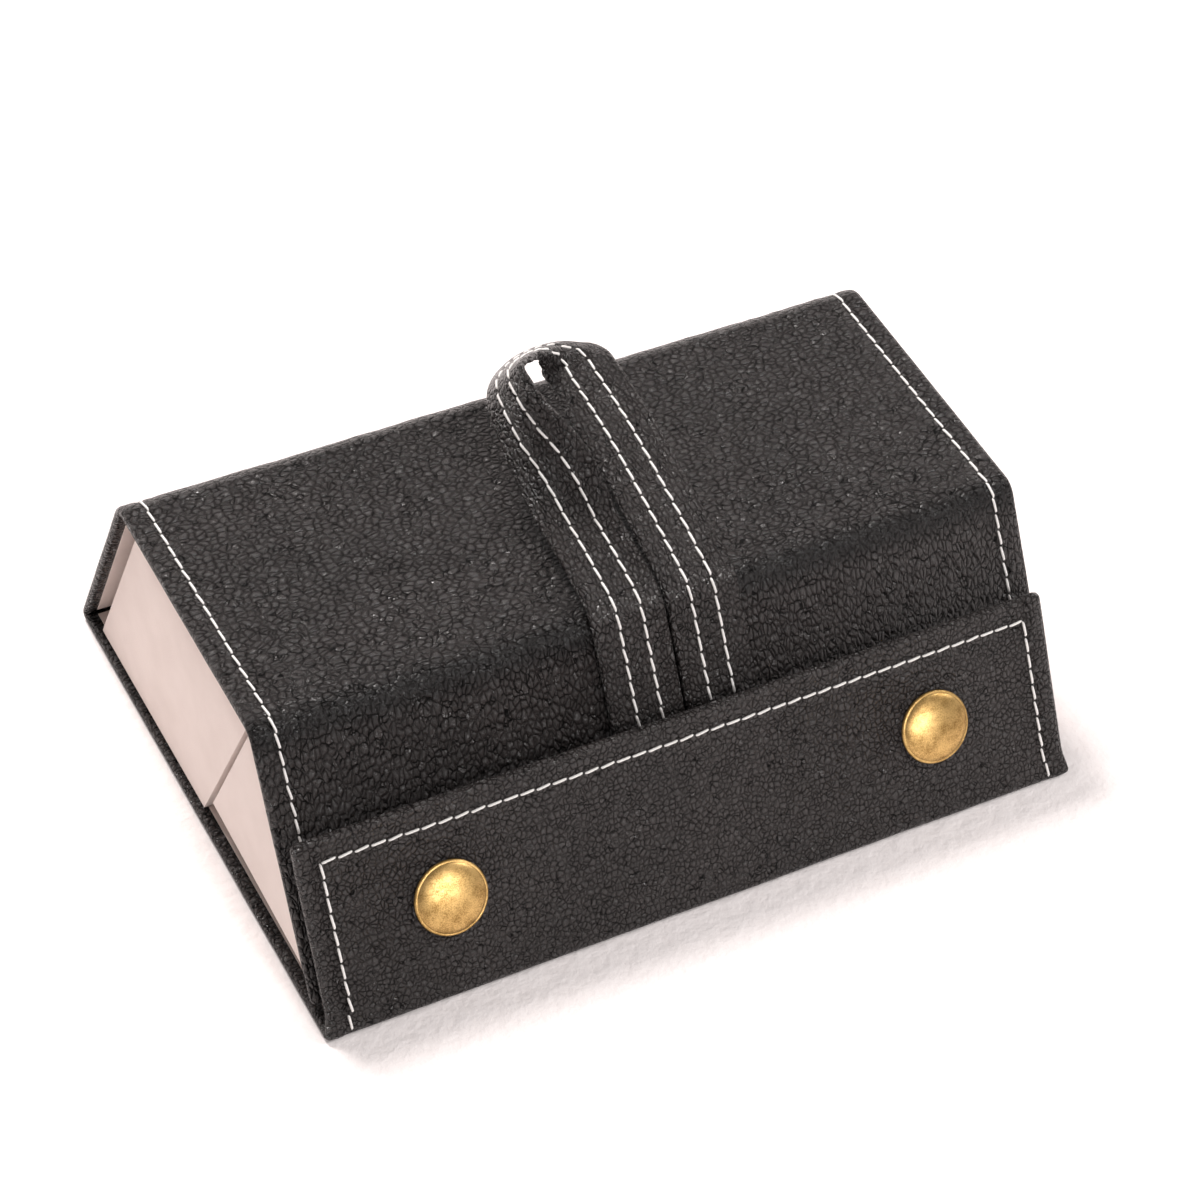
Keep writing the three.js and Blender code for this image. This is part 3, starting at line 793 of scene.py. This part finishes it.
def band_section(run):
    """Outline of the band's section as (across, outward): outer face, edge, inner face, edge."""
    half, thick = STRAP_WIDTH / 2, STRAP_THICK / 2
    across = [half * s for s in np.linspace(-1, 1, BAND_COLUMNS)]
    flat = [a * (half - thick) / half for a in across]
    angles = [math.pi * k / BAND_EDGE_STEPS for k in range(1, BAND_EDGE_STEPS)]
    section = [(a, thick + band_swell(a, run)) for a in flat]
    section += [(half - thick + thick * math.sin(a), thick * math.cos(a)) for a in angles]
    section += [(a, -thick) for a in reversed(flat)]
    section += [(thick - half - thick * math.sin(a), -thick * math.cos(a)) for a in angles]
    return section


def strap_leather(band):
    """The band's leather, one closed body swept along its frames."""
    vertices, faces = [], []
    for run, middle, width, out, _ in band.frames:
        vertices += [middle + width * w + out * d for w, d in band_section(run)]
    count = len(vertices) // len(band.frames)
    for r in range(len(band.frames) - 1):
        for k in range(count):
            a, b = r * count + k, r * count + (k + 1) % count
            faces.append((a, b, b + count, a + count))
    last = (len(band.frames) - 1) * count
    faces += [tuple(range(count))[::-1], tuple(range(last, last + count))]
    made = make_object("strap", vertices, faces, STRAP_LOOK)
    turn_faces_out(made)
    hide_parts("strap_left_run", "strap_right_run", "strap_loop")
    return made


def strap_thread(band):
    """Two stitch rows along the whole band."""
    rows = Stitches(13)
    total = band.frames[-1][0]
    for row in STRAP_ROWS:
        for i in range(int(total / STITCH_PITCH)):
            run = (i + 0.5) * STITCH_PITCH
            middle, width, out, along = band.at(run)
            lift = STRAP_THICK / 2 + band_swell(row, run)
            rows.add(middle + width * row + out * lift, along.normalized(), out.normalized())
    return rows.finish("strap_stitches")


def strap():
    band = Band(strap_stations())
    for piece in (strap_leather(band), strap_thread(band)):
        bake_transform(piece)


# ---- snaps --------------------------------------------------------------------------------
SNAP_ACROSS = 54.1 * MM
SNAP_RISE = 21.1 * MM        # from the flap's lower corner, up its outer face
CAP_RADIUS = 7.7 * MM
CAP_HEIGHT = 2.3 * MM
POST, POST_LENGTH = 1.5 * MM, 2.9 * MM
CAP_OFF_FLAP = 0.12 * MM     # gap between the cap's underside and the flap
RIM_ROLL = 0.42 * MM         # radius of the rolled rim
RIM_STEPS, DOME_STEPS = 8, 16
RIM_OVER = 1.02              # half turns that the rim rolls over
RIM_STEP_IN, RIM_STEP_DOWN = 0.12 * MM, 0.05 * MM
DOME_POWER = 1.35            # above 1 the dome is pointed, below 1 flat


def lathe(name, profile, matrix, sides=96):
    """A turned piece: its profile (radius, height) goes round the matrix's Z axis."""
    vertices, faces, rows = [], [], []
    for radius, height in profile:
        if radius < 1e-7:
            rows.append([len(vertices)])
            vertices.append(matrix @ Vector((0, 0, height)))
            continue
        rows.append(list(range(len(vertices), len(vertices) + sides)))
        for k in range(sides):
            angle = 2 * math.pi * k / sides
            place = Vector((radius * math.cos(angle), radius * math.sin(angle), height))
            vertices.append(matrix @ place)
    for low, high in zip(rows, rows[1:]):
        for k in range(sides):
            n = (k + 1) % sides
            below = [low[k % len(low)], low[n % len(low)]]
            above = [high[n % len(high)], high[k % len(high)]]
            face = list(dict.fromkeys(below + above))
            if len(face) > 2:
                faces.append(face)
    made = make_object(name, vertices, faces, BRASS_LOOK)
    turn_faces_out(made)
    return made


def cap_profile():
    """Post, flat underside, rolled rim and low dome."""
    roll, low = RIM_ROLL, CAP_OFF_FLAP
    profile = [(0, -POST_LENGTH), (POST, -POST_LENGTH), (POST, low), (CAP_RADIUS - roll, low)]
    for k in range(RIM_STEPS + 1):
        angle = -math.pi / 2 + math.pi * RIM_OVER * k / RIM_STEPS
        profile.append((CAP_RADIUS - roll + roll * math.cos(angle),
                        low + roll + roll * math.sin(angle)))
    rim_radius, rim_height = profile[-1]
    edge, foot = rim_radius - RIM_STEP_IN, rim_height - RIM_STEP_DOWN
    profile.append((edge, foot))
    rise = CAP_HEIGHT - rim_height + RIM_STEP_DOWN
    for k in range(1, DOME_STEPS + 1):
        angle = k / DOME_STEPS * math.pi / 2
        radius = edge * math.cos(angle) if k < DOME_STEPS else 0.0
        profile.append((radius, foot + rise * math.sin(angle) ** DOME_POWER))
    return profile


def on_face(origin, along, out, x):
    """Matrix of a piece that stands on a face of the cross-section, its Z outward."""
    z = Vector((0, out.x, out.y)).normalized()
    y = Vector((0, along.x, along.y)).normalized()
    turn = Matrix((y.cross(z), y, z)).transposed().to_4x4()
    return Matrix.Translation((x, origin.x, origin.y)) @ turn


def snaps():
    up = (FLAP_TIP - FRONT_EDGE).normalized()
    out = Vector((-up.y, up.x))
    centre = FRONT_EDGE + up * SNAP_RISE
    for side, x in (("left", -SNAP_ACROSS), ("right", SNAP_ACROSS)):
        cap = lathe(f"cap_{side}", cap_profile(), on_face(centre, up, out, x))
        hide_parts(f"snap_cap_{side}")
        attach(cap, "flap")


# ---- trays and lining ---------------------------------------------------------------------
ROUNDED_ABOVE = math.radians(40)               # edges sharper than this are rounded
ROUNDED_STEPS = 3


def dress(node, material, round_by):
    """A CAD node that is shown as it is, its edges rounded and its look assigned."""
    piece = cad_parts[node]
    piece.data.materials.clear()
    piece.data.materials.append(material)
    bevel = piece.modifiers.new("round", "BEVEL")
    bevel.width = round_by
    bevel.segments = ROUNDED_STEPS
    bevel.limit_method = "ANGLE"
    bevel.angle_limit = ROUNDED_ABOVE
    bevel.harden_normals = False


def trays():
    """Trays, linings, boards and the hidden snap halves, shown as the CAD makes them."""
    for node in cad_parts:
        if "_tray_" in node:
            dress(node, LINING_LOOK, 0.5 * MM if "wall" in node else 0.3 * MM)
        elif node.endswith("_lining"):
            dress(node, LINING_LOOK, 0.15 * MM)
        elif node.endswith("_board"):
            dress(node, BOARD_LOOK, 0.1 * MM)
        elif node.startswith("snap_") and "cap" not in node:
            dress(node, BRASS_LOOK, 0.08 * MM)


# ---- studio -------------------------------------------------------------------------------
def area_light(name, at, towards, size, power, color=(1, 1, 1)):
    data = bpy.data.lights.new(name, "AREA")
    data.shape = "RECTANGLE"
    data.size, data.size_y = size
    data.energy = power
    data.color = color
    light = bpy.data.objects.new(name, data)
    light.location = at
    aim = Vector(towards) - Vector(at)
    light.rotation_euler = aim.to_track_quat("-Z", "Y").to_euler()
    bpy.context.collection.objects.link(light)


FLOOR_HALF = 3.0
LIGHTS_AIM = (0, 0, 0.02)


def studio():
    """Soft even light, a small window behind and two small lamps that bring out the grain."""
    world = bpy.data.worlds.new("studio")
    world.use_nodes = True
    sky = world.node_tree.nodes["Background"]
    sky.inputs["Color"].default_value = rgb(1.0, 0.965, 0.955)
    sky.inputs["Strength"].default_value = 0.42
    bpy.context.scene.world = world
    area_light("window", (-0.12, 0.70, 0.85), LIGHTS_AIM, (0.3, 0.25), 15.0, (1.0, 0.97, 0.95))
    area_light("front_fill", (0.12, -1.0, 0.42), LIGHTS_AIM, (0.2, 0.16), 5.0)
    area_light("right_fill", (0.9, -0.3, 0.8), LIGHTS_AIM, (0.3, 0.3), 5.0)
    span = FLOOR_HALF
    floor = make_object("floor", [(-span, -span, 0), (span, -span, 0), (span, span, 0),
                                  (-span, span, 0)], [(0, 1, 2, 3)], paper_floor("floor"))
    bpy.context.scene.view_settings.view_transform = "Standard"


make_camera()
leather_skins()
stitching()
strap()
snaps()
trays()
studio()
